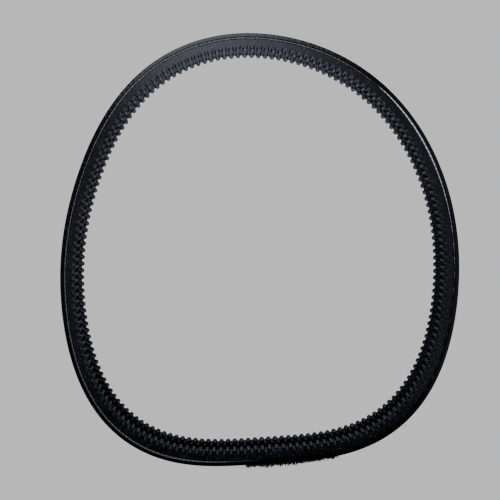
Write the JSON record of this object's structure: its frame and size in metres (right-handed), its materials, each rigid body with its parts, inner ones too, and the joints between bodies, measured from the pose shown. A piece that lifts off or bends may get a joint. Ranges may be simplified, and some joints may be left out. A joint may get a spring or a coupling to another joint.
{
  "type": "v belt",
  "caption": "Endless joined V belt: cogged wedge strands side by side under a fabric-faced tie band, lying on its edge as a relaxed rounded loop.",
  "frame": {"origin": "centre of the loop's bounding box, at half the belt's width", "axes": "+Z along the pulley axis, across the belt's width, towards the front strand; +Y along the loop's longer way, +X along its shorter way"},
  "size_m": [0.3056, 0.3312, 0.0292],
  "materials": {
    "tie_fabric": "rubber-coated woven polyester, matt black",
    "body_rubber": "black rubber, cut matt at the edges",
    "cushion_rubber": "soft black adhesion rubber",
    "tensile_cord": "treated twisted polyester yarn, grey where the cut flank shows it",
    "rib_rubber": "fibre-loaded black rubber, ground matt on the flanks and moulded satin on the cogs"
  },
  "bodies": {
    "root": {"tie_band_outer_ply": "tie_fabric", "tie_band_rubber": "body_rubber", "tie_band_inner_ply": "tie_fabric", "front_tension_rubber": "body_rubber", "front_cushion_upper": "cushion_rubber", "front_cord_s_twist": "tensile_cord", "front_cord_z_twist": "tensile_cord", "front_cushion_lower": "cushion_rubber", "front_cogged_rib": "rib_rubber", "rear_tension_rubber": "body_rubber", "rear_cushion_upper": "cushion_rubber", "rear_cord_s_twist": "tensile_cord", "rear_cord_z_twist": "tensile_cord", "rear_cushion_lower": "cushion_rubber", "rear_cogged_rib": "rib_rubber"}
  },
  "joints": []
}
